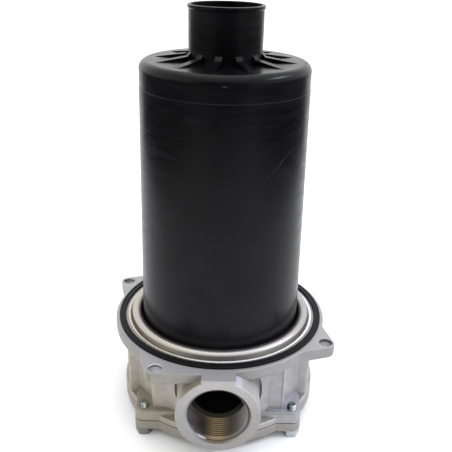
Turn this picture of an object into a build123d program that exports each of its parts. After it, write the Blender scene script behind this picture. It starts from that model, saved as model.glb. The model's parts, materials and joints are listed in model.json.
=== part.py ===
from build123d import *
import os
from math import cos, hypot, radians, sin, sqrt

os.makedirs("parts", exist_ok=True)

# Tank-top return line filter, standing upside down on its cover bolts, in millimetres.
# The origin is the centre of the face that bolts to the tank, +Z runs down into the
# tank along the bowl, and -Y points out of the inlet port.

# --- clearances -------------------------------------------------------------------------------
FIT_GAP = 0.3
SEAL_GAP = 0.1
SPRING_GAP = 0.2
THREAD_GAP = 0.05
STEM_FIT = 0.06

# --- inlet port: a G 1 1/2 threaded boss ------------------------------------------------------
PORT_R = 23.9
PORT_THREAD_L = 26.0
PORT_MOUTH_W = 2.1
PORT_CORE_STEP = 1.3
PORT_BOSS_WALL = 9.1
PORT_OVERHANG = 11.2
WEB_HALF_W = 13.2
WEB_BLEND_R = 5.0
FACE_OVER_BOSS = 1.0
RELIEF_W = 2.6
RELIEF_DEPTH = 2.6
RELIEF_DROP = 10.0

# --- chamber walls of the head ----------------------------------------------------------------
CHAMBER_R = 70.0
CHAMBER_WALL = 6.5
SIDE_HALF_W = 37.5
SIDE_STEP = 1.2
WALL_EDGE_R = 3.0
PANEL_START = 41.5
PANEL_W = 11.5
PANEL_DEPTH = 1.2
PANEL_FOOT_H = 1.2
FRONT_WALL_Y = 50.0
SEAT_W = 5.0
SEAT_DEPTH = 10.0

# --- tank flange ------------------------------------------------------------------------------
SPIGOT_WALL = 5.3
SPIGOT_H = 0.8
GASKET_SLACK = 0.5
GASKET_W = 7.2
GASKET_T = 2.0
FLANGE_MARGIN = 2.8
FLANGE_T = 11.0
FLANGE_FOOT_R = 3.0
MACHINED_EDGE = 0.6
EAR_REACH = 9.2
EAR_COUNT = 4
EAR_TURN = -29.3
EAR_END_R = 7.2
EAR_SIDE_ANGLE = 44.0
EAR_SIDE_RUN = 50.0
EAR_BLEND_R = 5.5
TANK_HOLE_R = 5.5

# --- cover joint ------------------------------------------------------------------------------
RIM_W = 8.3
RIM_T = 5.5
LUG_REACH = 2.7
LUG_R = 7.5
LUG_T = 10.0
LUG_EDGE_R = 1.2
SEAM_EDGE = 0.7
BOLT_ROOM = 6.9
BLOCK_SETBACK = 4.4
COVER_T = 8.6
COVER_EDGE_R = 0.8
COVER_DISH_MARGIN = 29.5
COVER_DISH_DEPTH = 1.6
PILOT_H = 6.0
PILOT_WALL = 5.5
PILOT_LIP = 1.5
COVER_SEAL_D = 2.6
BOLT_D = 8.0
BOLT_L = 25.0
BOLT_HEAD_AF = 13.0
BOLT_HEAD_H = 5.2
BOLT_HEAD_CHAMFER = 0.9
BOLT_TIP_CHAMFER = 0.9
BOLT_HOLE_GAP = 0.2
WASHER_R = 7.2
WASHER_T = 1.6

# --- bowl -------------------------------------------------------------------------------------
BOWL_GAP = 2.6
BOWL_FLANGE_T = 4.0
BOWL_DRAFT = 2.4
BOWL_WALL = 3.0
BOWL_L = 217.9
BOWL_END_T = 3.5
BOWL_SEAL_D = 2.3
SHOULDER_R = 6.0
BAND_DROP = 19.5
BAND_STEP = 0.3
OUTLET_BORE_R = 26.2
OUTLET_WALL = 1.7
OUTLET_L = 39.5
OUTLET_LIP = 0.7
OUTLET_LIP_H = 3.0
OUTLET_RIM_R = 0.5
SEAL_BORE_STEP = 1.0
SEAL_BORE_L = 11.6
RIB_COUNT = 12
RIB_START = -100.0
RIB_T = 5.2
RIB_REACH = 27.0
RIB_H = 6.2
RIB_KNEE_W = 2.4
RIB_KNEE_H = 3.5
COLLAR_W = 2.0
COLLAR_H = 1.7

# --- bowl retaining ring ----------------------------------------------------------------------
RING_GAP = 1.5
RING_LIP_W = 2.4
RING_GROOVE_W = 2.9
RING_BEAD_W = 4.5
RING_SHOULDER_H = 4.4
RING_BEAD_H = 2.4
RING_GROOVE_H = 2.0
RING_LIP_H = 3.7

# --- filter element ---------------------------------------------------------------------------
FLOW_GAP = 10.0
ELEMENT_START_H = 27.0
CAP_T = 4.0
CAP_RIM_T = 1.5
CAP_RIM_H = 7.0
PLEAT_COUNT = 48
PLEAT_SLACK = 0.9
PLEAT_SKIN = 5.0
PLEAT_CORE_GAP = 3.5
CORE_TUBE_R = 31.5
CORE_TUBE_T = 1.2
CORE_HOLE_R = 4.0
CORE_HOLES_ROUND = 6
CORE_HOLE_ROWS = 8
OUTLET_SPIGOT_WALL = 4.9
OUTLET_SPIGOT_L = 9.0
SPIGOT_LIP = 1.5
ELEMENT_SEAL_D = 2.2
HOLD_WIRE_D = 4.0
HOLD_COIL_R = 36.0
HOLD_TURNS = 3

# --- bypass valve in the element's cover-side cap ---------------------------------------------
VALVE_SEAT_R = 17.0
POPPET_LAP = 3.5
POPPET_T = 3.0
POPPET_LIFT = 6.0
STEM_R = 3.5
STOP_COLLAR_R = 6.0
CAGE_GAP = 0.8
CAGE_WALL = 2.5
CAGE_H = 30.0
CAGE_PLATE_T = 3.0
CAGE_WINDOWS = 4
CAGE_WINDOW_W = 26.0
BYPASS_WIRE_D = 1.8
BYPASS_COIL_R = 10.0
BYPASS_TURNS = 5

# --- values worked out from the sizes above ---------------------------------------------------
# head
PORT_BOSS_R = PORT_R + PORT_BOSS_WALL
SEAM = -2 * PORT_BOSS_R - FACE_OVER_BOSS
PORT_Z = SEAM + PORT_BOSS_R
PORT_CORE_R = PORT_R - PORT_CORE_STEP
CORE_R = CHAMBER_R + CHAMBER_WALL
SEAT_R = CHAMBER_R + SEAT_W
SEAT_Z = -SEAT_DEPTH
SPIGOT_R = SEAT_R + SPIGOT_WALL
GASKET_IN_R = SPIGOT_R + GASKET_SLACK
GASKET_OUT_R = GASKET_IN_R + GASKET_W
FLANGE_R = GASKET_OUT_R + FLANGE_MARGIN
PORT_FACE = FLANGE_R + PORT_OVERHANG
TANK_HOLE_PCR = FLANGE_R + EAR_REACH
EAR_ANGLES = [EAR_TURN + 360 / EAR_COUNT * k for k in range(EAR_COUNT)]
EAR_SPOTS = [(TANK_HOLE_PCR * cos(radians(a)), TANK_HOLE_PCR * sin(radians(a))) for a in EAR_ANGLES]
FRONT_EAR_X, FRONT_EAR_Y = EAR_SPOTS[-1]
RIM_R = CORE_R + RIM_W
RIM_TOP = SEAM + RIM_T
LUG_TOP = SEAM + LUG_T
BOLT_OFFSET = (RIM_R + LUG_REACH) / sqrt(2)
BOLT_SPOTS = [(BOLT_OFFSET * x, BOLT_OFFSET * y) for x, y in ((1, -1), (1, 1), (-1, 1), (-1, -1))]
PLATE_HALF_W = BOLT_OFFSET + LUG_R
BLOCK_HALF_W = BOLT_OFFSET - BOLT_ROOM
BLOCK_REACH = PLATE_HALF_W - BLOCK_SETBACK
SIDE_REACH = CORE_R + SIDE_STEP
# cover
COVER_OUT = SEAM - COVER_T
WASHER_OUT = COVER_OUT - WASHER_T
BOLT_HEAD_OUT = WASHER_OUT - BOLT_HEAD_H
BOLT_HOLE_R = BOLT_D / 2 + BOLT_HOLE_GAP
PILOT_R = CHAMBER_R - FIT_GAP
PILOT_TOP = SEAM + PILOT_H
COVER_SEAL_R = CHAMBER_R - SEAL_GAP - COVER_SEAL_D / 2
COVER_SEAL_Z = PILOT_TOP - PILOT_LIP - SEAL_GAP - COVER_SEAL_D / 2
# bowl
BOWL_R = CHAMBER_R - BOWL_GAP
BOWL_END_R = BOWL_R - BOWL_DRAFT
BOWL_END_IN_R = BOWL_END_R - BOWL_WALL
BOWL_END_IN = BOWL_L - BOWL_END_T
BOWL_FLANGE_R = SEAT_R - FIT_GAP
BOWL_FLANGE_TOP = SEAT_Z + BOWL_FLANGE_T
BOWL_SEAL_R = (CHAMBER_R + SEAT_R) / 2 + SEAL_GAP
BOWL_SEAL_HALF_W = BOWL_SEAL_D / 2 + SEAL_GAP
BAND_Z = BOWL_L - BAND_DROP
OUTLET_R = OUTLET_BORE_R + OUTLET_WALL
OUTLET_END = BOWL_L + OUTLET_L
SEAL_BORE_R = OUTLET_BORE_R - SEAL_BORE_STEP
SEAL_BORE_END = BOWL_END_IN + SEAL_BORE_L
RIB_FOOT_R = OUTLET_R + RIB_REACH
# retaining ring
RING_BORE_R = BOWL_R + RING_GAP
RING_LIP_R = RING_BORE_R + RING_LIP_W
RING_GROOVE_R = RING_LIP_R + RING_GROOVE_W
RING_R = RING_GROOVE_R + RING_BEAD_W
RING_SHOULDER = SPIGOT_H + RING_SHOULDER_H
# element
ELEMENT_R = BOWL_END_IN_R - FLOW_GAP
ELEMENT_START = SEAM + ELEMENT_START_H
ELEMENT_END = BOWL_END_IN
CAP_IN = ELEMENT_START + CAP_T
CAP_OUT = ELEMENT_END - CAP_T
CAP_POCKET_R = ELEMENT_R - CAP_RIM_T
PLEAT_OUT_R = CAP_POCKET_R - PLEAT_SLACK
PLEAT_IN_R = CORE_TUBE_R + PLEAT_CORE_GAP
ELEMENT_SPIGOT_R = SEAL_BORE_R - FIT_GAP
ELEMENT_SPIGOT_END = ELEMENT_END + OUTLET_SPIGOT_L
ELEMENT_SEAL_R = SEAL_BORE_R - SEAL_GAP - ELEMENT_SEAL_D / 2
ELEMENT_SEAL_Z = ELEMENT_SPIGOT_END - SPIGOT_LIP - SEAL_GAP - ELEMENT_SEAL_D / 2
# bypass valve
POPPET_R = VALVE_SEAT_R + POPPET_LAP
POPPET_TOP = CAP_IN + POPPET_T
CAGE_R = CORE_TUBE_R - CORE_TUBE_T - CAGE_GAP
CAGE_TOP = CAP_IN + CAGE_H
CAGE_CEILING = CAGE_TOP - CAGE_PLATE_T
STOP_COLLAR_TOP = CAGE_CEILING - POPPET_LIFT - FIT_GAP


def radial_plane(angle):
    """The plane through the Z axis whose local X points outwards at the angle."""
    outwards = (cos(radians(angle)), sin(radians(angle)), 0)
    normal = (sin(radians(angle)), -cos(radians(angle)), 0)
    return Plane(origin=(0, 0, 0), x_dir=outwards, z_dir=normal)


def groove_points(seal_r, seal_z, seal_d, wall_r):
    """The four corners of an O-ring groove cut inwards from a wall, from low to high."""
    low = seal_z - seal_d / 2 - SEAL_GAP
    high = seal_z + seal_d / 2 + SEAL_GAP
    floor_r = seal_r - seal_d / 2 - SEAL_GAP
    return [(wall_r, low), (floor_r, low), (floor_r, high), (wall_r, high)]


# --- filter head: one aluminium casting -------------------------------------------------------
with BuildPart() as boss_relief:
    with BuildSketch(Plane.XZ.offset(PORT_FACE)):
        with Locations((0, PORT_Z)):
            Circle(PORT_BOSS_R + RELIEF_W)
            Circle(PORT_BOSS_R, mode=Mode.SUBTRACT)
        with Locations((0, (PORT_Z - RELIEF_DROP - FLANGE_T) / 2)):
            Rectangle(3 * PORT_BOSS_R, RELIEF_DROP - FLANGE_T - PORT_Z, mode=Mode.INTERSECT)
    extrude(amount=-(PORT_FACE - BLOCK_REACH + WALL_EDGE_R))
    with BuildSketch(Plane.XY):
        Circle(CORE_R - RELIEF_DEPTH)
    extrude(amount=SEAM, mode=Mode.SUBTRACT)

with BuildPart() as head_casting:
    # the square plate that carries the cover bolts, and the round rim through it
    with BuildSketch(Plane.XY.offset(SEAM)):
        RectangleRounded(2 * PLATE_HALF_W, 2 * PLATE_HALF_W, LUG_R)
    extrude(amount=LUG_T)
    fillet(head_casting.faces().sort_by(Axis.Z)[-1].outer_wire().edges(), LUG_EDGE_R)
    chamfer(head_casting.faces().sort_by(Axis.Z)[0].outer_wire().edges(), SEAM_EDGE)
    with BuildSketch(Plane.XZ):
        with BuildLine():
            Polyline((0, SEAM), (RIM_R - SEAM_EDGE, SEAM), (RIM_R, SEAM + SEAM_EDGE),
                     (RIM_R, RIM_TOP - SEAM_EDGE), (RIM_R - SEAM_EDGE, RIM_TOP), (0, RIM_TOP), close=True)
        make_face()
    revolve(axis=Axis.Z)
    # the tank flange with its four ears and the flat front edge beside the port
    with BuildSketch(Plane.XY.offset(-FLANGE_T)) as flange_outline:
        Circle(FLANGE_R)
        for ear_angle, (ear_x, ear_y) in zip(EAR_ANGLES, EAR_SPOTS):
            ear_points = []
            for side in (-1, 1):
                normal = radians(ear_angle + side * EAR_SIDE_ANGLE)
                touch = (ear_x + EAR_END_R * cos(normal), ear_y + EAR_END_R * sin(normal))
                inner = (touch[0] - side * EAR_SIDE_RUN * sin(normal),
                         touch[1] + side * EAR_SIDE_RUN * cos(normal))
                ear_points += [inner, touch] if side < 0 else [touch, inner]
            with BuildLine():
                Polyline(*ear_points, close=True)
            make_face()
            with Locations((ear_x, ear_y)):
                Circle(EAR_END_R)
        blends = flange_outline.vertices().filter_by(lambda v: abs(hypot(v.X, v.Y) - FLANGE_R) < 0.01)
        fillet(blends, EAR_BLEND_R)
        with Locations((FRONT_EAR_X / 2, FRONT_EAR_Y - EAR_END_R + FLANGE_R / 2)):
            Rectangle(abs(FRONT_EAR_X), FLANGE_R)
        with Locations((0, -PORT_FACE / 2)):
            Rectangle(2 * WEB_HALF_W, PORT_FACE)
    extrude(amount=FLANGE_T)
    flange_foot = head_casting.faces().filter_by_position(Axis.Z, -FLANGE_T - FIT_GAP, -FLANGE_T + FIT_GAP)
    fillet(flange_foot.sort_by(Axis.Z)[0].outer_wire().edges(), FLANGE_FOOT_R)
    # the chamber walls with their bolt pockets
    with BuildSketch(Plane.XY.offset(RIM_TOP)) as wall_outline:
        Circle(CORE_R)
        Rectangle(2 * BLOCK_HALF_W, 2 * BLOCK_REACH)
        Rectangle(2 * SIDE_REACH, 2 * SIDE_HALF_W)
        fillet(wall_outline.vertices(), WALL_EDGE_R)
    extrude(amount=-FLANGE_T / 2 - RIM_TOP)
    # the shallow panel in the front wall and the step at its foot
    with Locations((PANEL_START + PANEL_W / 2, -BLOCK_REACH, (LUG_TOP + PANEL_FOOT_H - FLANGE_T) / 2)):
        Box(PANEL_W, 2 * PANEL_DEPTH, -FLANGE_T - LUG_TOP - PANEL_FOOT_H, mode=Mode.SUBTRACT)
    with Locations((PANEL_START + PANEL_W / 2, -BLOCK_REACH, LUG_TOP)):
        Box(PANEL_W, 2 * PANEL_DEPTH, 2 * PANEL_FOOT_H)
    # the port boss and the web that joins it to the flange
    with BuildSketch(Plane.XZ.offset(PORT_FACE)) as boss_outline:
        with Locations((0, PORT_Z)):
            Circle(PORT_BOSS_R)
        with Locations((0, PORT_Z / 2)):
            Rectangle(2 * WEB_HALF_W, -PORT_Z)
        web_feet = boss_outline.vertices().filter_by(lambda v: -FLANGE_T < v.Z < -FACE_OVER_BOSS)
        fillet(web_feet, WEB_BLEND_R)
    extrude(amount=-(PORT_FACE - BLOCK_REACH + WALL_EDGE_R))
    add(boss_relief.part, mode=Mode.SUBTRACT)
    tank_face_edges = head_casting.faces().sort_by(Axis.Z)[-1].outer_wire().edges()
    port_face_edges = head_casting.faces().sort_by(Axis.Y)[0].outer_wire().edges()
    chamfer(tank_face_edges + port_face_edges.filter_by(lambda e: e.center().Z < -FIT_GAP), MACHINED_EDGE)
    # the spigot, the chamber, the bowl seat and the port bore
    with BuildSketch(Plane.XY):
        Circle(SPIGOT_R)
    extrude(amount=SPIGOT_H)
    with BuildSketch(Plane.XZ):
        with BuildLine():
            Polyline((0, SEAM), (CHAMBER_R, SEAM), (CHAMBER_R, SEAT_Z), (SEAT_R, SEAT_Z), (SEAT_R, SPIGOT_H),
                     (0, SPIGOT_H), close=True)
        make_face()
    revolve(axis=Axis.Z, mode=Mode.SUBTRACT)
    with BuildSketch(Plane.XZ.offset(PORT_FACE)):
        with Locations((0, PORT_Z)):
            Circle(PORT_R)
    extrude(amount=-PORT_THREAD_L, mode=Mode.SUBTRACT)
    with BuildSketch(Plane.XZ.offset(PORT_FACE)):
        with Locations((0, PORT_Z)):
            Circle(PORT_CORE_R)
    extrude(amount=-(PORT_FACE - CHAMBER_R / 2), mode=Mode.SUBTRACT)
    mouth = head_casting.edges().filter_by(GeomType.CIRCLE).filter_by(lambda e: abs(e.radius - PORT_R) < 0.01)
    chamfer(mouth.sort_by(Axis.Y)[0], PORT_MOUTH_W)
    # the four tank holes and the four tapped holes for the cover bolts
    with Locations(*[(x, y, 0) for x, y in EAR_SPOTS]):
        Hole(TANK_HOLE_R, FLANGE_T)
    with Locations(*[(x, y, LUG_TOP) for x, y in BOLT_SPOTS]):
        Hole(BOLT_D / 2, LUG_T)

# The casting is kept as four solids that meet face to face: the flange, the rim with its bolt
# lugs, the side and back walls, and the front wall with the whole port boss. Each one collides
# as a simple shape.
HEAD_SPAN = 2 * TANK_HOLE_PCR + 4 * EAR_END_R
HEAD_SLICES = (
    # node, where it starts along y, its lowest and its highest z
    ("head_flange", -HEAD_SPAN / 2, -FLANGE_T, SPIGOT_H),
    ("head_rim", -HEAD_SPAN / 2, SEAM, LUG_TOP),
    ("head_wall", -FRONT_WALL_Y, LUG_TOP, -FLANGE_T),
)
with BuildPart() as boss_room:
    with BuildSketch(Plane.XZ.offset(PORT_FACE)):
        with Locations((0, PORT_Z)):
            Circle(PORT_BOSS_R)
    extrude(amount=-PORT_THREAD_L)

with BuildPart() as filter_head:
    add(head_casting.part)
    for name, start_y, low, high in HEAD_SLICES:
        with BuildPart(mode=Mode.SUBTRACT) as head_slice:
            add(head_casting.part)
            with Locations((0, (start_y + HEAD_SPAN / 2) / 2, (low + high) / 2)):
                Box(HEAD_SPAN, HEAD_SPAN / 2 - start_y, high - low, mode=Mode.INTERSECT)
            add(boss_room.part, mode=Mode.SUBTRACT)
        head_slice.part.label = name
        export_step(head_slice.part, f"parts/{name}.step")
filter_head.part.label = "filter_head"
export_step(filter_head.part, "parts/filter_head.step")

# --- cover: an aluminium plate with a pilot that carries its seal -----------------------------
with BuildPart() as cover:
    with BuildSketch(Plane.XY.offset(COVER_OUT)):
        Circle(RIM_R)
        RectangleRounded(2 * PLATE_HALF_W, 2 * PLATE_HALF_W, LUG_R)
    extrude(amount=COVER_T)
    fillet(cover.faces().sort_by(Axis.Z)[0].outer_wire().edges(), COVER_EDGE_R)
    chamfer(cover.faces().sort_by(Axis.Z)[-1].outer_wire().edges(), SEAM_EDGE)
    with BuildSketch(Plane.XZ):
        with BuildLine():
            Polyline((PILOT_R - PILOT_WALL, SEAM), (PILOT_R, SEAM),
                     *groove_points(COVER_SEAL_R, COVER_SEAL_Z, COVER_SEAL_D, PILOT_R),
                     (PILOT_R, PILOT_TOP), (PILOT_R - PILOT_WALL, PILOT_TOP), close=True)
        make_face()
    revolve(axis=Axis.Z)
    with BuildSketch(Plane.XY.offset(COVER_OUT)):
        Circle(RIM_R - COVER_DISH_MARGIN)
    extrude(amount=COVER_DISH_DEPTH, mode=Mode.SUBTRACT)
    with Locations(*[(x, y, SEAM) for x, y in BOLT_SPOTS]):
        Hole(BOLT_HOLE_R, COVER_T)
cover.part.label = "cover"
export_step(cover.part, "parts/cover.step")

with BuildPart() as cover_o_ring:
    with BuildSketch(Plane.XZ):
        with Locations((COVER_SEAL_R, COVER_SEAL_Z)):
            Circle(COVER_SEAL_D / 2)
    revolve(axis=Axis.Z)
cover_o_ring.part.label = "cover_o_ring"
export_step(cover_o_ring.part, "parts/cover_o_ring.step")

# --- cover bolts and washers: four of each ----------------------------------------------------
for number, (bolt_x, bolt_y) in enumerate(BOLT_SPOTS, start=1):
    with BuildPart() as cover_washer:
        with BuildSketch(Plane.XY.offset(WASHER_OUT)):
            with Locations((bolt_x, bolt_y)):
                Circle(WASHER_R)
                Circle(BOLT_HOLE_R, mode=Mode.SUBTRACT)
        extrude(amount=WASHER_T)
    cover_washer.part.label = f"cover_washer_{number}"
    export_step(cover_washer.part, f"parts/cover_washer_{number}.step")

    with BuildPart() as cover_bolt:
        with BuildSketch(Plane.XY.offset(BOLT_HEAD_OUT)):
            with Locations((bolt_x, bolt_y)):
                RegularPolygon(BOLT_HEAD_AF / 2, 6, major_radius=False)
        extrude(amount=BOLT_HEAD_H)
        with BuildSketch(Plane(origin=(bolt_x, bolt_y, 0), x_dir=(1, 0, 0), z_dir=(0, -1, 0))):
            with BuildLine():
                Polyline((0, BOLT_HEAD_OUT), (BOLT_HEAD_AF / 2, BOLT_HEAD_OUT),
                         (BOLT_HEAD_AF / sqrt(3), BOLT_HEAD_OUT + BOLT_HEAD_CHAMFER),
                         (BOLT_HEAD_AF / sqrt(3), WASHER_OUT), (0, WASHER_OUT), close=True)
            make_face()
        revolve(axis=Axis((bolt_x, bolt_y, 0), (0, 0, 1)), mode=Mode.INTERSECT)
        with BuildSketch(Plane.XY.offset(WASHER_OUT)):
            with Locations((bolt_x, bolt_y)):
                Circle(BOLT_D / 2 - THREAD_GAP)
        extrude(amount=BOLT_L)
        chamfer(cover_bolt.faces().sort_by(Axis.Z)[-1].edges(), BOLT_TIP_CHAMFER)
    cover_bolt.part.label = f"cover_bolt_{number}"
    export_step(cover_bolt.part, f"parts/cover_bolt_{number}.step")

# --- tank gasket ------------------------------------------------------------------------------
with BuildPart() as tank_gasket:
    with BuildSketch(Plane.XY):
        Circle(GASKET_OUT_R)
        Circle(GASKET_IN_R, mode=Mode.SUBTRACT)
    extrude(amount=GASKET_T)
    fillet(tank_gasket.faces().sort_by(Axis.Z)[-1].edges(), GASKET_T / 4)
tank_gasket.part.label = "tank_gasket"
export_step(tank_gasket.part, "parts/tank_gasket.step")

# --- retaining ring: a turned ring with a rounded bead that holds the bowl's flange down ------
with BuildPart() as bowl_retaining_ring:
    with BuildSketch(Plane.XZ):
        with BuildLine():
            Polyline((RING_GROOVE_R, RING_SHOULDER), (RING_GROOVE_R, SPIGOT_H + RING_GROOVE_H),
                     (RING_LIP_R, SPIGOT_H + RING_GROOVE_H), (RING_LIP_R, SPIGOT_H + RING_LIP_H),
                     (RING_BORE_R, SPIGOT_H + RING_LIP_H), (RING_BORE_R, BOWL_FLANGE_TOP),
                     (BOWL_FLANGE_R, BOWL_FLANGE_TOP), (BOWL_FLANGE_R, SPIGOT_H), (RING_R, SPIGOT_H),
                     (RING_R, RING_SHOULDER))
            ThreePointArc((RING_R, RING_SHOULDER),
                          ((RING_R + RING_GROOVE_R) / 2, RING_SHOULDER + RING_BEAD_H),
                          (RING_GROOVE_R, RING_SHOULDER))
        make_face()
    revolve(axis=Axis.Z)
bowl_retaining_ring.part.label = "bowl_retaining_ring"
export_step(bowl_retaining_ring.part, "parts/bowl_retaining_ring.step")

# --- bowl: one plastic moulding with its outlet tube and radial ribs --------------------------
with BuildPart() as filter_bowl:
    with BuildSketch(Plane.XZ) as bowl_section:
        with BuildLine():
            Polyline((BOWL_R - BOWL_WALL, SEAT_Z), (BOWL_SEAL_R - BOWL_SEAL_HALF_W, SEAT_Z),
                     (BOWL_SEAL_R - BOWL_SEAL_HALF_W, SEAT_Z + BOWL_SEAL_D + SEAL_GAP),
                     (BOWL_SEAL_R + BOWL_SEAL_HALF_W, SEAT_Z + BOWL_SEAL_D + SEAL_GAP),
                     (BOWL_SEAL_R + BOWL_SEAL_HALF_W, SEAT_Z), (BOWL_FLANGE_R, SEAT_Z),
                     (BOWL_FLANGE_R, BOWL_FLANGE_TOP), (BOWL_R, BOWL_FLANGE_TOP),
                     (BOWL_END_R + BAND_STEP, BAND_Z), (BOWL_END_R, BAND_Z + BAND_STEP),
                     (BOWL_END_R, BOWL_L), (OUTLET_R + COLLAR_W, BOWL_L),
                     (OUTLET_R + COLLAR_W, BOWL_L + COLLAR_H), (OUTLET_R, BOWL_L + COLLAR_H),
                     (OUTLET_R, OUTLET_END - OUTLET_LIP_H),
                     (OUTLET_R + OUTLET_LIP, OUTLET_END - OUTLET_LIP_H + OUTLET_LIP),
                     (OUTLET_R + OUTLET_LIP, OUTLET_END), (OUTLET_BORE_R, OUTLET_END),
                     (OUTLET_BORE_R, SEAL_BORE_END + SEAL_BORE_STEP), (SEAL_BORE_R, SEAL_BORE_END),
                     (SEAL_BORE_R, BOWL_END_IN), (BOWL_END_IN_R, BOWL_END_IN), close=True)
        make_face()
        for corner_r, corner_z, radius in ((BOWL_END_R, BOWL_L, SHOULDER_R),
                                           (BOWL_END_IN_R, BOWL_END_IN, SHOULDER_R - BOWL_WALL),
                                           (OUTLET_R + OUTLET_LIP, OUTLET_END, OUTLET_RIM_R),
                                           (OUTLET_BORE_R, OUTLET_END, OUTLET_RIM_R)):
            corner = bowl_section.vertices().sort_by_distance((corner_r, corner_z, 0))[0]
            fillet(corner, radius)
    revolve(axis=Axis.Z)
    for k in range(RIB_COUNT):
        with BuildSketch(radial_plane(RIB_START + 360 / RIB_COUNT * k)):
            with BuildLine():
                Polyline((OUTLET_R - FIT_GAP, BOWL_L - FIT_GAP), (RIB_FOOT_R, BOWL_L - FIT_GAP),
                         (RIB_FOOT_R, BOWL_L), (OUTLET_R + RIB_KNEE_W, BOWL_L + RIB_KNEE_H),
                         (OUTLET_R, BOWL_L + RIB_H), (OUTLET_R - FIT_GAP, BOWL_L + RIB_H), close=True)
            make_face()
        extrude(amount=RIB_T / 2, both=True)
filter_bowl.part.label = "filter_bowl"
export_step(filter_bowl.part, "parts/filter_bowl.step")

with BuildPart() as bowl_o_ring:
    with BuildSketch(Plane.XZ):
        with Locations((BOWL_SEAL_R, SEAT_Z + (BOWL_SEAL_D + SEAL_GAP) / 2)):
            Circle(BOWL_SEAL_D / 2)
    revolve(axis=Axis.Z)
bowl_o_ring.part.label = "bowl_o_ring"
export_step(bowl_o_ring.part, "parts/bowl_o_ring.step")

# --- element: two end caps, the core tube and the pleated media -------------------------------
with BuildPart() as element_cover_cap:
    with BuildSketch(Plane.XZ):
        with BuildLine():
            Polyline((VALVE_SEAT_R, ELEMENT_START), (ELEMENT_R, ELEMENT_START),
                     (ELEMENT_R, CAP_IN + CAP_RIM_H), (CAP_POCKET_R, CAP_IN + CAP_RIM_H),
                     (CAP_POCKET_R, CAP_IN), (VALVE_SEAT_R, CAP_IN), close=True)
        make_face()
    revolve(axis=Axis.Z)
element_cover_cap.part.label = "element_cover_cap"
export_step(element_cover_cap.part, "parts/element_cover_cap.step")

with BuildPart() as element_outlet_cap:
    with BuildSketch(Plane.XZ):
        with BuildLine():
            Polyline((ELEMENT_SPIGOT_R - OUTLET_SPIGOT_WALL, CAP_OUT), (CAP_POCKET_R, CAP_OUT),
                     (CAP_POCKET_R, CAP_OUT - CAP_RIM_H), (ELEMENT_R, CAP_OUT - CAP_RIM_H),
                     (ELEMENT_R, ELEMENT_END), (ELEMENT_SPIGOT_R, ELEMENT_END),
                     *groove_points(ELEMENT_SEAL_R, ELEMENT_SEAL_Z, ELEMENT_SEAL_D, ELEMENT_SPIGOT_R),
                     (ELEMENT_SPIGOT_R, ELEMENT_SPIGOT_END),
                     (ELEMENT_SPIGOT_R - OUTLET_SPIGOT_WALL, ELEMENT_SPIGOT_END), close=True)
        make_face()
    revolve(axis=Axis.Z)
element_outlet_cap.part.label = "element_outlet_cap"
export_step(element_outlet_cap.part, "parts/element_outlet_cap.step")

with BuildPart() as element_o_ring:
    with BuildSketch(Plane.XZ):
        with Locations((ELEMENT_SEAL_R, ELEMENT_SEAL_Z)):
            Circle(ELEMENT_SEAL_D / 2)
    revolve(axis=Axis.Z)
element_o_ring.part.label = "element_o_ring"
export_step(element_o_ring.part, "parts/element_o_ring.step")

with BuildPart() as core_tube:
    with BuildSketch(Plane.XY.offset(CAP_IN)):
        Circle(CORE_TUBE_R)
        Circle(CORE_TUBE_R - CORE_TUBE_T, mode=Mode.SUBTRACT)
    extrude(amount=CAP_OUT - CAP_IN)
    row_pitch = (CAP_OUT - CAGE_TOP) / CORE_HOLE_ROWS
    across = CORE_HOLES_ROUND // 2
    for row in range(CORE_HOLE_ROWS):
        for k in range(across):
            with BuildSketch(radial_plane(180 / across * (k + row % 2 / 2))):
                with Locations((0, CAGE_TOP + row_pitch * (row + 0.5))):
                    Circle(CORE_HOLE_R)
            extrude(amount=CORE_TUBE_R, both=True, mode=Mode.SUBTRACT)
core_tube.part.label = "core_tube"
export_step(core_tube.part, "parts/core_tube.step")

with BuildPart() as pleated_media:
    with BuildSketch(Plane.XY.offset(CAP_IN)):
        for skin, kind in ((0, Mode.ADD), (PLEAT_SKIN, Mode.SUBTRACT)):
            fold_points = []
            for k in range(2 * PLEAT_COUNT):
                fold_r = (PLEAT_OUT_R if k % 2 else PLEAT_IN_R + PLEAT_SKIN) - skin
                fold_angle = radians(180 / PLEAT_COUNT * k)
                fold_points.append((fold_r * cos(fold_angle), fold_r * sin(fold_angle)))
            with BuildLine():
                Polyline(*fold_points, close=True)
            make_face(mode=kind)
    extrude(amount=CAP_OUT - CAP_IN)
pleated_media.part.label = "pleated_media"
export_step(pleated_media.part, "parts/pleated_media.step")

# --- bypass valve: cage, poppet and spring ----------------------------------------------------
with BuildPart() as bypass_cage:
    with BuildSketch(Plane.XZ):
        with BuildLine():
            Polyline((STEM_R + STEM_FIT, CAGE_CEILING), (CAGE_R - CAGE_WALL, CAGE_CEILING),
                     (CAGE_R - CAGE_WALL, CAP_IN), (CAGE_R, CAP_IN), (CAGE_R, CAGE_TOP),
                     (STEM_R + STEM_FIT, CAGE_TOP), close=True)
        make_face()
    revolve(axis=Axis.Z)
    for k in range(CAGE_WINDOWS // 2):
        with BuildSketch(radial_plane(360 / CAGE_WINDOWS * k)):
            with Locations((0, (CAP_IN + CAGE_PLATE_T + CAGE_CEILING) / 2)):
                Rectangle(CAGE_WINDOW_W, CAGE_CEILING - CAP_IN - CAGE_PLATE_T)
        extrude(amount=CAGE_R, both=True, mode=Mode.SUBTRACT)
bypass_cage.part.label = "bypass_cage"
export_step(bypass_cage.part, "parts/bypass_cage.step")

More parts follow.
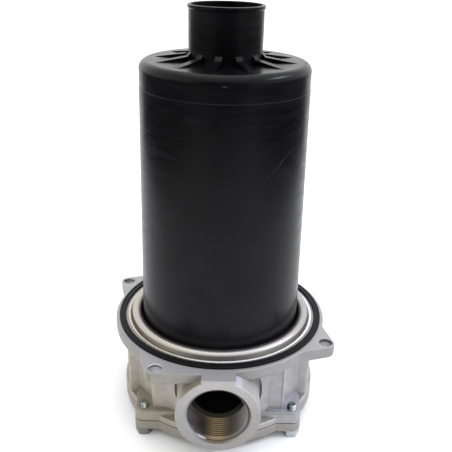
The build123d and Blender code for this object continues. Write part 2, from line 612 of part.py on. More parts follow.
with BuildPart() as bypass_poppet:
    with BuildSketch(Plane.XZ):
        with BuildLine():
            Polyline((0, CAP_IN), (POPPET_R, CAP_IN), (POPPET_R, POPPET_TOP), (STOP_COLLAR_R, POPPET_TOP),
                     (STOP_COLLAR_R, STOP_COLLAR_TOP), (STEM_R, STOP_COLLAR_TOP),
                     (STEM_R, CAGE_TOP + FIT_GAP), (0, CAGE_TOP + FIT_GAP), close=True)
        make_face()
    revolve(axis=Axis.Z)
bypass_poppet.part.label = "bypass_poppet"
export_step(bypass_poppet.part, "parts/bypass_poppet.step")


def coil_spring(wire_d, coil_r, turns, low, high):
    """A compression spring whose wire just clears the faces at low and high."""
    start = low + SPRING_GAP + wire_d / 2
    end = high - SPRING_GAP - wire_d / 2
    with BuildPart() as coil:
        with BuildLine() as coil_path:
            Helix((end - start) / turns, end - start, coil_r, center=(0, 0, start))
        with BuildSketch(Plane(origin=coil_path.line @ 0, z_dir=coil_path.line % 0)):
            Circle(wire_d / 2)
        sweep(path=coil_path.line, is_frenet=True)
    return coil.part


bypass_spring = coil_spring(BYPASS_WIRE_D, BYPASS_COIL_R, BYPASS_TURNS, POPPET_TOP, CAGE_CEILING)
bypass_spring.label = "bypass_spring"
export_step(bypass_spring, "parts/bypass_spring.step")

hold_down_spring = coil_spring(HOLD_WIRE_D, HOLD_COIL_R, HOLD_TURNS, SEAM, ELEMENT_START)
hold_down_spring.label = "hold_down_spring"
export_step(hold_down_spring, "parts/hold_down_spring.step")
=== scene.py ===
import json
from math import cos, pi, radians, sin, sqrt

import bmesh
import bpy
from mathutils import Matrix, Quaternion, Vector


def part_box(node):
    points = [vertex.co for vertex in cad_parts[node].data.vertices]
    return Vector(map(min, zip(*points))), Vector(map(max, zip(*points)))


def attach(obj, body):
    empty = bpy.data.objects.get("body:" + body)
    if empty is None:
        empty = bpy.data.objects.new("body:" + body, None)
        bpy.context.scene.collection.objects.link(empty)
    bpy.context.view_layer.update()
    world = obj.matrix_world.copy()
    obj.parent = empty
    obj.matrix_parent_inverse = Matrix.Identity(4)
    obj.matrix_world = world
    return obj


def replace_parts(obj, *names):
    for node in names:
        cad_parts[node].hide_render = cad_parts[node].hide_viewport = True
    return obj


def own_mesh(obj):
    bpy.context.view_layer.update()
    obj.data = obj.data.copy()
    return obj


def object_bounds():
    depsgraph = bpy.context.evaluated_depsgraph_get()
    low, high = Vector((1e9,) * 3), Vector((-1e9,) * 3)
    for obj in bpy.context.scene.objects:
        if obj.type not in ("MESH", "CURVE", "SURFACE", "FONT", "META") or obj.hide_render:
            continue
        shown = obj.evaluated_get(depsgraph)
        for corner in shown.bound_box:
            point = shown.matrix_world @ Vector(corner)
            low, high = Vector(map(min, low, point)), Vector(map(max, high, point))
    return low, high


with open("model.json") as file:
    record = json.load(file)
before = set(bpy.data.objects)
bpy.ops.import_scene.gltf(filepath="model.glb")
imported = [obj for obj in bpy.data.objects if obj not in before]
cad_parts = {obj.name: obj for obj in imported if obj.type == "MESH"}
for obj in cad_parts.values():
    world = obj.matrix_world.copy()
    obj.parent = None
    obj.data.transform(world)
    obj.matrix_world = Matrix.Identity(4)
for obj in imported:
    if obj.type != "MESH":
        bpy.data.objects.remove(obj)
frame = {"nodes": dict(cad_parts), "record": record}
cad_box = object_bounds()

# Everything is in metres, in the part's own frame: z = 0 is the face that bolts to the tank,
# +Z runs along the bowl and -Y points out of the inlet port.
MM = 0.001

# --- camera: the photograph's viewpoint -------------------------------------------------------
CAMERA_PLACE = (0.0, -0.4908, 0.2987)
CAMERA_LOOK = (0.00648, 0.91413, -0.40536)
CAMERA_ROLL = 0.02458
CAMERA_LENS = 51.06

# --- head: levels and sizes that the finishes follow ------------------------------------------
SEAM_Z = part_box("head_rim")[0].z
LUG_TOP_Z = SEAM_Z + 10.0 * MM
SPIGOT_TOP_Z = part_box("head_flange")[1].z
FLANGE_T = 11.0 * MM
CHAMBER_R = 70.0 * MM
TANK_HOLE_PCR = 100.0 * MM
TANK_HOLE_R = 5.5 * MM
TANK_HOLE_TURN = radians(-29.3)

# --- port and its thread ----------------------------------------------------------------------
PORT_FACE_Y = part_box("filter_head")[0].y
PORT_Z = -34.0 * MM
PORT_BORE_R = 23.9 * MM
PORT_MOUTH_R = 26.0 * MM
PORT_THREAD_R = 23.95 * MM
PORT_THREAD_DEPTH = 1.48 * MM
PORT_THREAD_PITCH = 2.309 * MM
PORT_THREAD_TURNS = 11
PORT_THREAD_START = PORT_FACE_Y + 0.05 * MM
PORT_THREAD_END = PORT_FACE_Y + 25.5 * MM
# the ridge's outline, as shares of its depth and of its pitch
PORT_RIDGE = [(0.0, -0.49), (0.55, -0.24), (1.0, -0.08), (1.0, 0.08), (0.55, 0.24), (0.0, 0.49)]
# on the mouth's chamfer the ridge has this height, and its foot lies this far inside the metal
MOUTH_RIDGE_H = 0.30 * MM
MOUTH_RIDGE_SINK = 0.02 * MM
MOUTH_MARK_PITCH = 0.85 * MM

# --- bowl: a gate mark, and a scratch that runs between two (x, z) points in mm ---------------
GATE_MARK_Z = 210.5 * MM
GATE_MARK_FLATTEN = 2.2
SCRATCH_START = (25.5, 137.0)
SCRATCH_END = (50.0, 162.0)

# --- bolts and bypass spring ------------------------------------------------------------------
BOLT_COUNT = 4
BOLT_R = 3.95 * MM
BOLT_THREAD_DEPTH = 0.45 * MM
BOLT_THREAD_PITCH = 1.25 * MM
BOLT_THREAD_ROWS = 8
BOLT_TIP_CHAMFER = 1.1 * MM
BOLT_HEAD_AF = 13.0 * MM
BOLT_HEAD_STEPS = 72
BOLT_FACE_R = 0.47 * BOLT_HEAD_AF
BOLT_FACE_SLOPE = 0.5
WASHER_FACE_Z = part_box("cover_washer_1")[0].z
SPRING_WIRE_R = 0.9 * MM
SPRING_TURNS = 5

# --- turned pieces: closed outlines as (radius, height) in mm ---------------------------------
# the retaining ring: its bore, its crown and its steep outer flank
RING_PROFILE = [
    (68.9, -6.0), (68.9, 4.2), (69.0, 4.6), (69.3, 5.1), (70.0, 5.7), (71.2, 6.3), (72.4, 6.65), (73.5, 6.7),
    (74.5, 6.5), (75.4, 6.15), (76.2, 5.6), (76.8, 4.9), (77.2, 4.2), (77.6, 3.3), (78.0, 2.4), (78.4, 1.5),
    (78.7, 0.82), (74.8, 0.82), (74.8, -6.0)]
# the gasket: a low lip at each edge and a shallow channel between them
GASKET_PROFILE = [
    (82.5, 0.0), (82.5, 1.4), (82.7, 1.8), (83.2, 2.0), (84.0, 1.9), (84.8, 1.6), (85.6, 1.55), (86.3, 1.75),
    (87.0, 1.95), (87.6, 1.8), (87.9, 1.4), (88.0, 0.9), (88.0, 0.0)]

# --- mesh fineness ----------------------------------------------------------------------------
ROUND_STEPS = 48
TURNED_STEPS = 360
WIRE_STEPS = 12

# --- studio -----------------------------------------------------------------------------------
FLOOR_Z = cad_box[0].z
FLOOR_HALF = 12.0
FLOOR_FRONT = -0.9
FLOOR_SIDE = 0.62
FLOOR_COLOUR = (0.80, 0.80, 0.80, 1)
LIGHT_TARGET = (0, 0, 0.08)
TOP_BOX = {"place": (0.0, 0.0, 2.2), "width": 2.2, "height": 2.2, "watts": 20, "colour": (0.96, 0.97, 1.0)}
RIGHT_BOX = {"place": (1.50, -0.10, 1.36), "width": 0.65, "height": 0.14, "watts": 18,
             "colour": (0.80, 0.84, 1.0)}
WORLD_STRENGTH = 1.56
TENT_COLOUR = (0.985, 0.985, 1.0)
ROOM_COLOUR = (0.05, 0.05, 0.055)


def make_camera():
    data = bpy.data.cameras.new("photo_camera")
    data.lens = CAMERA_LENS
    data.clip_start = 0.01
    data.clip_end = 100.0
    camera = bpy.data.objects.new("photo_camera", data)
    camera.location = CAMERA_PLACE
    camera.rotation_mode = "QUATERNION"
    look = Vector(CAMERA_LOOK).to_track_quat("-Z", "Y")
    camera.rotation_quaternion = look @ Quaternion((0, 0, 1), CAMERA_ROLL)
    bpy.context.scene.collection.objects.link(camera)
    bpy.context.scene.camera = camera


# --- small helpers for node trees -------------------------------------------------------------
class Graph:
    """Makes and joins the nodes of one tree. A value is a number or another node's output."""

    def __init__(self, tree):
        self.tree = tree

    def node(self, kind, **settings):
        made = self.tree.nodes.new("ShaderNode" + kind)
        for name, value in settings.items():
            setattr(made, name, value)
        return made

    def feed(self, target, value):
        if hasattr(value, "is_output"):
            self.tree.links.new(value, target)
        else:
            target.default_value = value

    def math(self, operation, *values):
        made = self.node("Math", operation=operation)
        for socket, value in zip(made.inputs, values):
            self.feed(socket, value)
        return made.outputs[0]

    def times(self, first, *others):
        """The product of those values."""
        product = first
        for other in others:
            product = self.math("MULTIPLY", product, other)
        return product

    def distance(self, across, along):
        """How long a line is that goes that far across and that far along."""
        squares = [self.math("POWER", part, 2.0) for part in (across, along)]
        return self.math("SQRT", self.math("ADD", *squares))

    def ramp(self, value, low, high, out_low=0.0, out_high=1.0, smooth=False):
        """Goes from out_low to out_high as the value goes from low to high, and is level past both."""
        made = self.node("MapRange", clamp=True)
        if smooth:
            made.interpolation_type = "SMOOTHSTEP"
        self.feed(made.inputs["Value"], value)
        for socket, number in zip(made.inputs[1:5], (low, high, out_low, out_high)):
            self.feed(socket, number)
        return made.outputs[0]

    def mix(self, factor, first, second):
        made = self.node("Mix", data_type="FLOAT")
        self.feed(made.inputs["Factor"], factor)
        self.feed(made.inputs[2], first)
        self.feed(made.inputs[3], second)
        return made.outputs[0]

    def mix_colour(self, factor, first, second):
        made = self.node("Mix", data_type="RGBA")
        self.feed(made.inputs["Factor"], factor)
        for socket, colour in ((made.inputs[6], first), (made.inputs[7], second)):
            self.feed(socket, colour if hasattr(colour, "is_output") else (*colour, 1.0))
        return made.outputs[2]


class Finish(Graph):
    """One procedural material. Its pattern coordinates are the part's own frame, in metres."""

    def __init__(self, name):
        self.material = bpy.data.materials.new(name)
        self.material.use_nodes = True
        super().__init__(self.material.node_tree)
        self.shader = self.tree.nodes["Principled BSDF"]
        self.place = self.node("TexCoord").outputs["Object"]
        self.bumps = None

    def noise(self, size, detail=4.0, rough=0.55, stretch=(1, 1, 1), seed=0.0):
        """Noise whose main features are about that size, in metres."""
        scaled = self.node("Mapping")
        self.feed(scaled.inputs["Vector"], self.place)
        scaled.inputs["Scale"].default_value = stretch
        scaled.inputs["Location"].default_value = (seed, seed * 0.7, seed * 1.3)
        made = self.node("TexNoise")
        self.feed(made.inputs["Vector"], scaled.outputs[0])
        made.inputs["Scale"].default_value = 1 / size
        made.inputs["Detail"].default_value = detail
        made.inputs["Roughness"].default_value = rough
        return made.outputs["Fac"]

    def patchy(self, pattern, first, second):
        """Goes from the first colour to the second across the middle of a noise pattern."""
        return self.mix_colour(self.ramp(pattern, 0.35, 0.65), first, second)

    def xyz(self):
        made = self.node("SeparateXYZ")
        self.feed(made.inputs[0], self.place)
        return made.outputs

    def normal_part(self, axis):
        made = self.node("SeparateXYZ")
        self.feed(made.inputs[0], self.node("NewGeometry").outputs["Normal"])
        return made.outputs[axis]

    def bump(self, height, strength, depth):
        made = self.node("Bump")
        made.inputs["Strength"].default_value = strength
        made.inputs["Distance"].default_value = depth
        self.feed(made.inputs["Height"], height)
        if self.bumps is not None:
            self.feed(made.inputs["Normal"], self.bumps)
        self.bumps = made.outputs[0]

    def done(self, colour, roughness, metallic=0.0, **plain):
        self.feed(self.shader.inputs["Base Color"], colour)
        self.feed(self.shader.inputs["Roughness"], roughness)
        self.shader.inputs["Metallic"].default_value = metallic
        for name, value in plain.items():
            self.shader.inputs[name.replace("_", " ")].default_value = value
        if self.bumps is not None:
            self.feed(self.shader.inputs["Normal"], self.bumps)
        return self.material


# --- cast aluminium ---------------------------------------------------------------------------
def level_face(f, low, full):
    """A mask for the faces that look along +Z and lie above those levels."""
    return f.times(f.ramp(f.xyz()[2], low, full), f.ramp(f.normal_part(2), 0.6, 0.98))


def port_front(f):
    """A mask for the port's flat face and the chamfer of its mouth."""
    return f.times(f.ramp(f.xyz()[1], PORT_FACE_Y + 2.6 * MM, PORT_FACE_Y + 2.3 * MM),
                   f.ramp(f.normal_part(1), -0.6, -0.65))


def cast_skin(f):
    """The sand-cast surface: painted warm light at the left and cool light at the right, darker in patches
    low down, and painted shade low at the left, on the cover's side and on the flange's side faces.
    """
    x, _, z = f.xyz()
    up = f.normal_part(2)
    mottle = f.noise(7 * MM, detail=5, rough=0.6, seed=3.0)
    low_patch_noise = f.noise(30 * MM, detail=5, rough=0.6, seed=12.0)
    # Painted light: the casting is tinted warm at the left and cool at the right.
    warm = f.patchy(mottle, (0.340, 0.315, 0.272), (0.405, 0.378, 0.332))
    cool = f.patchy(mottle, (0.318, 0.316, 0.318), (0.382, 0.378, 0.385))
    colour = f.mix_colour(f.ramp(x, -30 * MM, 35 * MM), warm, cool)
    # Darker and browner in patches towards the bottom.
    low_patch_darkening = f.times(f.ramp(z, -50 * MM, -66 * MM, 0.0, 0.35), f.ramp(low_patch_noise, 0.25, 0.60))
    colour = f.mix_colour(low_patch_darkening, colour, (0.250, 0.230, 0.180))
    # Painted shade: olive darkening low down at the left.
    left_low_shade = f.times(f.ramp(z, -38 * MM, -58 * MM, 0.0, 0.55), f.ramp(x, -25 * MM, -50 * MM))
    colour = f.mix_colour(left_low_shade, colour, (0.260, 0.236, 0.165))
    # Painted shade on the cover's side band, below the seam.
    cover_side_shade = f.ramp(z, SEAM_Z, SEAM_Z - 0.8 * MM, 0.0, 0.45)
    colour = f.mix_colour(cover_side_shade, colour, (0.215, 0.205, 0.180))
    from_seam = f.math("ABSOLUTE", f.math("SUBTRACT", z, SEAM_Z))
    joint = f.times(f.ramp(from_seam, 0.30 * MM, 0.65 * MM, 0.85, 0.0), f.ramp(up, 0.95, 0.90))
    colour = f.mix_colour(joint, colour, (0.045, 0.040, 0.034))
    # Painted shade on the flange's side faces, just under its tank face.
    flange_side_shade = f.times(f.ramp(z, -FLANGE_T, -FLANGE_T + 0.6 * MM), f.ramp(up, 0.60, 0.35), 0.55)
    return f.mix_colour(flange_side_shade, colour, (0.190, 0.184, 0.172))


def tank_hole_distance(f, x, y):
    """How far a point is from the axis of the nearest of the four tank holes."""
    turn = TANK_HOLE_TURN + pi / 4
    along = f.math("ADD", f.math("MULTIPLY", x, cos(turn)), f.math("MULTIPLY", y, sin(turn)))
    across = f.math("SUBTRACT", f.math("MULTIPLY", y, cos(turn)), f.math("MULTIPLY", x, sin(turn)))
    offsets = [f.math("SUBTRACT", f.math("ABSOLUTE", part), TANK_HOLE_PCR / sqrt(2))
               for part in (along, across)]
    return f.distance(*offsets)


def drilled_holes(f, colour):
    """Drilled walls in the tank holes with painted shade deepening downwards, under a lip with a painted
    highlight at the left and painted shade at the right.
    """
    x, y, z = f.xyz()
    in_hole = f.ramp(tank_hole_distance(f, x, y), TANK_HOLE_R + 0.30 * MM, TANK_HOLE_R + 0.10 * MM)
    # Painted shade: the hole's wall darkens with depth. The lip gets a painted highlight at the left and
    # painted shade at the right.
    hole_wall_shade = f.mix_colour(f.ramp(z, -3.4 * MM, -2.6 * MM), (0.470, 0.460, 0.450), (0.150, 0.150, 0.175))
    lip = f.mix_colour(f.ramp(x, 20 * MM, -20 * MM), (0.110, 0.100, 0.085), (0.900, 0.890, 0.930))
    hole_wall_shade = f.mix_colour(f.ramp(z, -1.5 * MM, -1.2 * MM), hole_wall_shade, lip)
    return f.mix_colour(in_hole, colour, hole_wall_shade)


def machined_faces(f, colour, flecks, on_tank_face, on_port_face):
    """The flecked tank face, and the port's face, with painted shade low down and painted light above."""
    z = f.xyz()[2]
    fleck = f.ramp(flecks, 0.40, 0.60)
    tank_face = f.mix_colour(fleck, (0.296, 0.290, 0.301), (0.347, 0.341, 0.355))
    port_face = f.mix_colour(fleck, (0.285, 0.276, 0.266), (0.335, 0.325, 0.313))
    # Painted shade on the port's face low down and painted light high up.
    low_painted_light = f.ramp(z, PORT_Z - 30 * MM, PORT_Z, 0.30, 0.0)
    port_face = f.mix_colour(low_painted_light, port_face, (0.190, 0.182, 0.170))
    high_painted_light = f.ramp(z, PORT_Z, PORT_Z + 30 * MM, 0.0, 0.35)
    port_face = f.mix_colour(high_painted_light, port_face, (0.560, 0.550, 0.540))
    colour = f.mix_colour(on_tank_face, colour, tank_face)
    return f.mix_colour(on_port_face, colour, port_face)


def edges_and_pockets(f, colour):
    """Painted shade on rounded edges, painted light on pocket floors, and a painted highlight and painted
    shade on the two feet of the port's web.
    """
    x, y, z = f.xyz()
    up = f.normal_part(2)
    sideways = f.normal_part(0)
    # Painted shade on the rounded edge of the tank face.
    arris_shade = f.times(f.ramp(z, -0.70 * MM, -0.55 * MM), f.ramp(up, 0.95, 0.85), f.ramp(up, 0.40, 0.55))
    colour = f.mix_colour(arris_shade, colour, (0.235, 0.230, 0.225))
    # Painted light: the pocket floors are lighter and bluer, as if lit from above.
    pocket_floor_light = f.times(f.ramp(z, LUG_TOP_Z - 0.4 * MM, LUG_TOP_Z - 0.1 * MM), f.ramp(up, 0.95, 0.99),
                        f.ramp(z, -20 * MM, -30 * MM), f.ramp(x, -20 * MM, 40 * MM))
    colour = f.mix_colour(pocket_floor_light, colour, (0.410, 0.405, 0.455))
    by_web = f.times(f.ramp(y, PORT_FACE_Y + 16 * MM, PORT_FACE_Y + 12 * MM),
                     f.ramp(z, -19 * MM, -15 * MM), f.ramp(z, -1.2 * MM, -2.0 * MM))
    # Painted highlight on the web's right foot and painted shade on its left foot.
    web_foot_highlight = f.times(by_web, f.ramp(sideways, 0.25, 0.45, 0.0, 0.7), f.ramp(x, 19.5 * MM, 16.5 * MM))
    colour = f.mix_colour(web_foot_highlight, colour, (0.520, 0.520, 0.640))
    web_foot_shade = f.times(by_web, f.ramp(sideways, -0.25, -0.45), 0.8)
    colour = f.mix_colour(web_foot_shade, colour, (0.190, 0.175, 0.115))
    # Painted shade on the rounded top edges of the lugs.
    lug_arris_shade = f.times(f.ramp(z, LUG_TOP_Z - 1.6 * MM, LUG_TOP_Z - 1.2 * MM), f.ramp(up, 0.95, 0.80),
                           f.ramp(z, LUG_TOP_Z + 0.2 * MM, LUG_TOP_Z), f.ramp(up, 0.15, 0.35), 0.7)
    return f.mix_colour(lug_arris_shade, colour, (0.180, 0.174, 0.165))


def spigot_top(f, colour):
    """The bright turned ledge on top of the spigot, with a painted warm light tint towards the left."""
    # Painted light: a warm tint towards the left.
    ledge = f.mix_colour(f.ramp(f.xyz()[0], 10 * MM, -50 * MM), (0.90, 0.88, 0.89), (0.60, 0.54, 0.42))
    return f.mix_colour(level_face(f, SPIGOT_TOP_Z - 0.4 * MM, SPIGOT_TOP_Z - 0.1 * MM), colour, ledge)


def bore_mask(f, from_port_axis):
    """A mask for the port's bore, from behind its mouth to where it meets the chamber."""
    y = f.xyz()[1]
    return f.times(f.ramp(from_port_axis, PORT_BORE_R + 0.5 * MM, PORT_BORE_R + 0.2 * MM),
                   f.ramp(y, PORT_FACE_Y + 5.0 * MM, PORT_FACE_Y + 6.0 * MM),
                   f.ramp(y, -60 * MM, -65 * MM))


def port_inside(f, colour, from_port_axis, in_bore, on_port_face):
    """The mouth's chamfer in painted light and shade, the bore in painted shade above and painted light
    below, and the chamber behind them in painted shade.
    """
    x, y, z = f.xyz()
    on_mouth = f.times(f.ramp(from_port_axis, PORT_MOUTH_R + 0.3 * MM, PORT_MOUTH_R + 0.2 * MM),
                       f.ramp(f.normal_part(1), -0.85, -0.80), on_port_face)
    # Painted light and shade on the mouth's chamfer: bluish light at the left, dark in the middle, lighter
    # at the right.
    mouth = f.mix_colour(f.ramp(x, -24 * MM, -8 * MM), (0.330, 0.335, 0.370), (0.120, 0.102, 0.068))
    mouth = f.mix_colour(f.ramp(x, 4 * MM, 18 * MM), mouth, (0.300, 0.296, 0.276))
    colour = f.mix_colour(on_mouth, colour, mouth)
    # Painted shade high in the bore and painted light low in it.
    behind_thread = f.ramp(y, PORT_THREAD_END, PORT_THREAD_END + 1.0 * MM)
    bore_low = f.mix_colour(behind_thread, (0.110, 0.095, 0.070), (0.260, 0.240, 0.180))
    bore = f.mix_colour(f.ramp(z, PORT_Z - 6 * MM, PORT_Z - 16 * MM), (0.020, 0.018, 0.014), bore_low)
    colour = f.mix_colour(in_bore, colour, bore)
    head_or_floor = f.math("MAXIMUM", f.ramp(z, SEAM_Z, SEAM_Z + 0.5 * MM),
                           f.ramp(f.normal_part(2), 0.3, 0.5))
    # Painted shade: the chamber behind the port is painted near black.
    chamber_shade = f.times(f.ramp(f.distance(x, y), CHAMBER_R + 1.5 * MM, CHAMBER_R + 0.5 * MM),
                         f.ramp(z, -3 * MM, -4 * MM), head_or_floor)
    return f.mix_colour(chamber_shade, colour, (0.040, 0.037, 0.042))


def cast_aluminium():
    """Sand-grained casting, machined flat on the tank face, the spigot and the port's face."""
    f = Finish("cast_aluminium")
    x, _, z = f.xyz()
    grain = f.noise(0.8 * MM, detail=5, rough=0.6)
    pores = f.noise(0.5 * MM, detail=2, rough=0.4, seed=9.0)
    speckle = f.noise(1.3 * MM, detail=2, rough=0.5, seed=15.0)
    on_tank_face = level_face(f, -0.7 * MM, -0.3 * MM)
    on_port_face = port_front(f)
    from_port_axis = f.distance(x, f.math("SUBTRACT", z, PORT_Z))
    in_bore = bore_mask(f, from_port_axis)
    colour = drilled_holes(f, cast_skin(f))
    colour = machined_faces(f, colour, f.mix(0.6, pores, speckle), on_tank_face, on_port_face)
    colour = edges_and_pockets(f, colour)
    colour = spigot_top(f, colour)
    colour = port_inside(f, colour, from_port_axis, in_bore, on_port_face)
    machined = f.math("MAXIMUM", on_tank_face, on_port_face)
    rough = f.mix(machined, f.ramp(grain, 0.3, 0.7, 0.44, 0.58), f.ramp(pores, 0.3, 0.7, 0.48, 0.60))
    rough = f.mix(in_bore, rough, 0.32)
    f.bump(grain, 0.35, 0.20 * MM)
    f.bump(pores, 0.12, 0.06 * MM)
    return f.done(colour, rough, metallic=0.6)


# --- the other finishes -----------------------------------------------------------------------
def chamfer_tone(f, from_axis):
    """The thread's colour on the mouth's chamfer: painted light at the left and painted shade in the middle,
    faint tool marks and a painted glint at the lower left.
    """
    x, _, z = f.xyz()
    # Painted light at the left and painted shade in the middle of the chamfer.
    cone = f.mix_colour(f.ramp(x, -22 * MM, -12 * MM), (0.260, 0.264, 0.290), (0.085, 0.070, 0.044))
    cone = f.mix_colour(f.ramp(x, 4 * MM, 16 * MM), cone, (0.110, 0.106, 0.094))
    tool_marks = f.math("SINE", f.math("MULTIPLY", from_axis, 2 * pi / MOUTH_MARK_PITCH))
    cone = f.mix_colour(f.ramp(tool_marks, -0.4, 0.4, 0.0, 0.4), cone, (0.026, 0.022, 0.016))
    lower_left_glint = f.times(f.ramp(x, -17 * MM, -14 * MM), f.ramp(x, -8 * MM, -11 * MM),
                      f.ramp(z, PORT_Z - 14 * MM, PORT_Z - 18 * MM))
    return f.mix_colour(lower_left_glint, cone, (0.520, 0.540, 0.620))


def cut_thread():
    """The port's cut thread: crests in painted light that brightens from left to right, a painted golden
    highlight on them low down, patches of oil film, and roots in painted shade.
    """
    f = Finish("cut_thread")
    x, y, z = f.xyz()
    from_axis = f.distance(x, f.math("SUBTRACT", z, PORT_Z))
    film = f.noise(6 * MM, detail=3, seed=5.0)
    chatter = f.noise(1.5 * MM, detail=3, stretch=(1, 0.5, 1), seed=11.0)
    # Painted light: the crests brighten from left to right.
    crest_light_left_to_right = f.math("ADD", f.ramp(x, -10 * MM, 12 * MM, 0.0, 0.25),
                           f.ramp(x, 15 * MM, 22 * MM, 0.0, 0.20))
    crest = f.mix_colour(crest_light_left_to_right, (0.042, 0.043, 0.052), (0.360, 0.348, 0.320))
    crest = f.mix_colour(f.ramp(film, 0.35, 0.70, 0.0, 0.30), crest, (0.280, 0.210, 0.120))
    # Painted golden highlight on the crests low down.
    low_painted_light = f.times(f.ramp(z, PORT_Z - 14 * MM, PORT_Z - 22 * MM),
                       f.ramp(f.math("ABSOLUTE", x), 11 * MM, 3 * MM),
                       f.ramp(y, PORT_FACE_Y, PORT_FACE_Y + 5 * MM, 0.25, 1.0), 0.7)
    crest = f.mix_colour(low_painted_light, crest, (0.560, 0.430, 0.220))
    # Painted shade in the thread's roots.
    root_shade = f.times(f.ramp(from_axis, 22.8 * MM, 23.5 * MM),
                     f.ramp(y, PORT_FACE_Y + 4.0 * MM, PORT_FACE_Y + 6.0 * MM))
    colour = f.mix_colour(root_shade, crest, (0.030, 0.025, 0.018))
    on_cone = f.ramp(y, PORT_FACE_Y + 2.4 * MM, PORT_FACE_Y + 1.9 * MM)
    colour = f.mix_colour(on_cone, colour, chamfer_tone(f, from_axis))
    f.bump(chatter, 0.10, 0.04 * MM)
    return f.done(colour, f.ramp(film, 0.3, 0.7, 0.30, 0.40), metallic=1.0)


def scratch_mask(f, in_front):
    """A mask for one thin, slightly wandering scratch on the bowl's front."""
    x, _, z = f.xyz()
    slope = (SCRATCH_END[1] - SCRATCH_START[1]) / (SCRATCH_END[0] - SCRATCH_START[0])
    wander = f.times(f.math("SUBTRACT", f.noise(6 * MM, detail=4, seed=2.0), 0.5), 3 * MM)
    line_z = f.math("ADD", f.times(f.math("SUBTRACT", x, SCRATCH_START[0] * MM), slope),
                    f.math("ADD", wander, SCRATCH_START[1] * MM))
    off_line = f.math("ABSOLUTE", f.math("SUBTRACT", z, line_z))
    return f.times(f.ramp(off_line, 0.9 * MM, 0.2 * MM), in_front,
                   f.ramp(x, SCRATCH_START[0] * MM, (SCRATCH_START[0] + 3) * MM),
                   f.ramp(x, SCRATCH_END[0] * MM, (SCRATCH_END[0] - 8) * MM))


def bowl_plastic():
    """Glossy black moulding: faint level striations, a gate mark and one old scratch in front."""
    f = Finish("bowl_plastic")
    x, y, z = f.xyz()
    fine = f.noise(0.5 * MM, detail=3)
    cloud = f.noise(30 * MM, detail=4, rough=0.6, seed=4.0)
    scuff = f.noise(6 * MM, detail=5, rough=0.6, stretch=(0.25, 0.25, 2.0), seed=7.0)
    low = f.patchy(cloud, (0.0042, 0.0040, 0.0046), (0.0070, 0.0067, 0.0076))
    high = f.patchy(cloud, (0.0006, 0.0006, 0.0008), (0.0017, 0.0016, 0.0021))
    # Painted light: the black is lighter towards the bottom.
    colour = f.mix_colour(f.ramp(z, 20 * MM, 150 * MM), low, high)
    colour = f.mix_colour(f.ramp(scuff, 0.55, 0.85, 0.0, 0.5), colour, (0.012, 0.012, 0.015))
    in_front = f.ramp(y, 0.0, -5 * MM)
    from_gate = f.distance(x, f.times(f.math("SUBTRACT", z, GATE_MARK_Z), GATE_MARK_FLATTEN))
    at_gate = f.times(f.ramp(from_gate, 2.4 * MM, 0.8 * MM), in_front)
    colour = f.mix_colour(at_gate, colour, (0.024, 0.024, 0.028))
    scratched = scratch_mask(f, in_front)
    colour = f.mix_colour(f.times(scratched, 0.8), colour, (0.0001, 0.0001, 0.0001))
    rough = f.math("ADD", f.ramp(scuff, 0.3, 0.75, 0.24, 0.36), f.times(scratched, 0.25))
    f.bump(fine, 0.10, 0.04 * MM)
    f.bump(scuff, 0.06, 0.05 * MM)
    f.bump(f.times(scratched, -1.0), 0.5, 0.25 * MM)
    return f.done(colour, rough, IOR=1.23)


def turned_ring():
    """Lathe-turned steel: its tone changes in fine rings round the part's axis; the crown is painted lighter
    and the flank painted in shade, with a painted warm light tint at the left.
    """
    f = Finish("turned_ring")
    x, y, z = f.xyz()
    ringed = f.node("CombineXYZ")
    f.feed(ringed.inputs[0], f.distance(x, y))
    f.feed(ringed.inputs[1], z)
    turning = f.node("TexNoise")
    f.feed(turning.inputs["Vector"], ringed.outputs[0])
    turning.inputs["Scale"].default_value = 1 / (0.5 * MM)
    turning.inputs["Detail"].default_value = 2.0
    lathe = turning.outputs["Fac"]
    uneven = f.noise(9 * MM, detail=3)
    # Painted light: a warm tint towards the left.
    warm = f.times(f.ramp(x, 10 * MM, -40 * MM), 0.5)
    crown = f.patchy(lathe, (0.330, 0.318, 0.312), (0.390, 0.377, 0.370))
    crown = f.mix_colour(warm, crown, (0.420, 0.385, 0.310))
    side = f.patchy(lathe, (0.140, 0.132, 0.122), (0.190, 0.180, 0.166))
    side = f.mix_colour(warm, side, (0.170, 0.155, 0.110))
    # Painted light on the crown and painted shade on the flank.
    colour = f.mix_colour(f.ramp(f.normal_part(2), 0.42, 0.62), side, crown)
    f.bump(f.noise(2.5 * MM, detail=2, seed=8.0), 0.05, 0.05 * MM)
    return f.done(colour, f.ramp(uneven, 0.3, 0.7, 0.34, 0.42), metallic=1.0)


def rubber(name, tone):
    f = Finish(name)
    fine = f.noise(0.6 * MM, detail=4)
    dust = f.noise(6 * MM, detail=5, rough=0.65, seed=2.0)
    clean = (tone, tone, tone * 1.1)
    dusty = (tone * 2, tone * 2, tone * 2.1)
    colour = f.mix_colour(f.ramp(dust, 0.45, 0.75), clean, dusty)
    f.bump(fine, 0.25, 0.06 * MM)
    return f.done(colour, f.ramp(dust, 0.3, 0.7, 0.38, 0.52), IOR=1.19)


